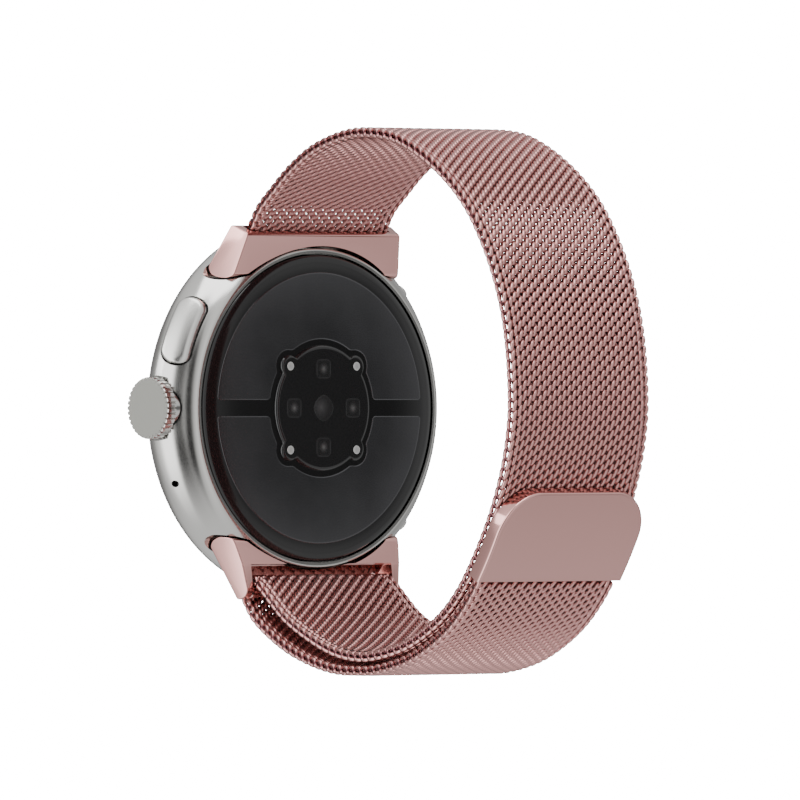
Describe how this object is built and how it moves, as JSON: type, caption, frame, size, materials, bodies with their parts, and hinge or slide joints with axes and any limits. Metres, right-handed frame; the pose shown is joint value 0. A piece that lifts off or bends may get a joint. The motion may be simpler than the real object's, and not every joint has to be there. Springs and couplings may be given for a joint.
{
  "type": "smartwatch",
  "caption": "Round smartwatch with a knurled crown and side button, on a closed woven metal loop band with a magnetic clasp.",
  "frame": {"origin": "centre of the flat sensor window on the back of the watch, where it rests on the wrist", "axes": "+X to the crown (3 o'clock), +Y out of the back towards the wrist, +Z to 12 o'clock"},
  "size_m": [0.0422, 0.0549, 0.0603],
  "materials": {
    "silver_steel": "satin polished",
    "rose_gold_steel": "polished rose gold plating",
    "woven_rose_gold": "woven flattened wire, rose gold plating",
    "rear_black": "polished black",
    "electrode_steel": "dark coated, satin",
    "crystal_glass": "polished, dark behind",
    "display_black": "black",
    "seal_rubber": "matte",
    "plain_steel": "plain",
    "circuit_board": "solder mask",
    "inner_plastic": "matte",
    "contact_metal": "plated"
  },
  "bodies": {
    "watch_head": {"case_shell": "silver_steel", "upper_adapter": "rose_gold_steel", "lower_adapter": "rose_gold_steel", "upper_pin": "rose_gold_steel", "lower_bar": "rose_gold_steel", "mesh_main": "woven_rose_gold", "mesh_fold": "woven_rose_gold", "rear_cover": "rear_black", "sensor_window": "rear_black", "electrode_upper": "electrode_steel", "electrode_lower": "electrode_steel", "front_crystal": "crystal_glass", "photodiode": "crystal_glass", "led_top": "crystal_glass", "led_bottom": "crystal_glass", "led_left": "crystal_glass", "led_right": "crystal_glass", "display_panel": "display_black", "crystal_gasket": "seal_rubber", "rear_gasket": "seal_rubber", "crown_oring": "seal_rubber", "button_oring": "seal_rubber", "display_bracket": "plain_steel", "processor_shield": "plain_steel", "haptic_housing": "plain_steel", "microphone": "plain_steel", "main_board": "circuit_board", "sensor_board": "circuit_board", "sensor_flex": "circuit_board", "battery": "inner_plastic", "speaker_module": "inner_plastic", "crown_encoder": "inner_plastic", "crown_switch": "inner_plastic", "button_switch": "inner_plastic", "charge_pin_1": "contact_metal", "charge_pin_2": "contact_metal", "charge_pin_3": "contact_metal", "charge_pin_4": "contact_metal", "crown_bush": "contact_metal"},
    "crown_slider": {"crown_carrier": "inner_plastic"},
    "crown": {"crown_knob": "silver_steel", "crown_stem": "plain_steel", "crown_clip": "plain_steel"},
    "side_button": {"side_button": "silver_steel", "button_clip": "plain_steel"},
    "release_button_upper": {"release_button_upper": "silver_steel"},
    "release_button_lower": {"release_button_lower": "silver_steel"},
    "haptic_mass": {"haptic_mass": "contact_metal"},
    "strap_tail": {"mesh_tail": "woven_rose_gold", "clasp_shell": "rose_gold_steel", "clasp_plate": "plain_steel", "clasp_magnet_1": "plain_steel", "clasp_magnet_2": "plain_steel", "clasp_magnet_3": "plain_steel"}
  },
  "joints": [
    {"name": "crown_press", "type": "slide", "parent": "watch_head", "child": "crown_slider", "axis": [-1, 0, 0], "range_m": [0, 0.00035], "stiffness_N_per_m": 3000, "springref_m": -0.0001},
    {"name": "crown_turn", "type": "hinge", "parent": "crown_slider", "child": "crown", "pos_m": [0.02, -0.005, 0], "axis": [1, 0, 0], "continuous": true},
    {"name": "button_press", "type": "slide", "parent": "watch_head", "child": "side_button", "axis": [-0.8988, 0, -0.4384], "range_m": [0, 0.0003], "stiffness_N_per_m": 3000, "springref_m": -0.0001},
    {"name": "release_upper_press", "type": "slide", "parent": "watch_head", "child": "release_button_upper", "axis": [0.7547, 0, -0.6561], "range_m": [0, 0.0006], "stiffness_N_per_m": 1500, "springref_m": -0.0001},
    {"name": "release_lower_press", "type": "slide", "parent": "watch_head", "child": "release_button_lower", "axis": [0.7547, 0, 0.6561], "range_m": [0, 0.0006], "stiffness_N_per_m": 1500, "springref_m": -0.0001},
    {"name": "haptic_shake", "type": "slide", "parent": "watch_head", "child": "haptic_mass", "axis": [1, 0, 0], "range_m": [-0.0005, 0.0005], "stiffness_N_per_m": 500},
    {"name": "tail_swing", "type": "hinge", "parent": "watch_head", "child": "strap_tail", "pos_m": [0, -0.0008, -0.0204], "axis": [-1, 0, 0], "range_deg": [0, 75], "deforming": ["mesh_fold"]}
  ]
}
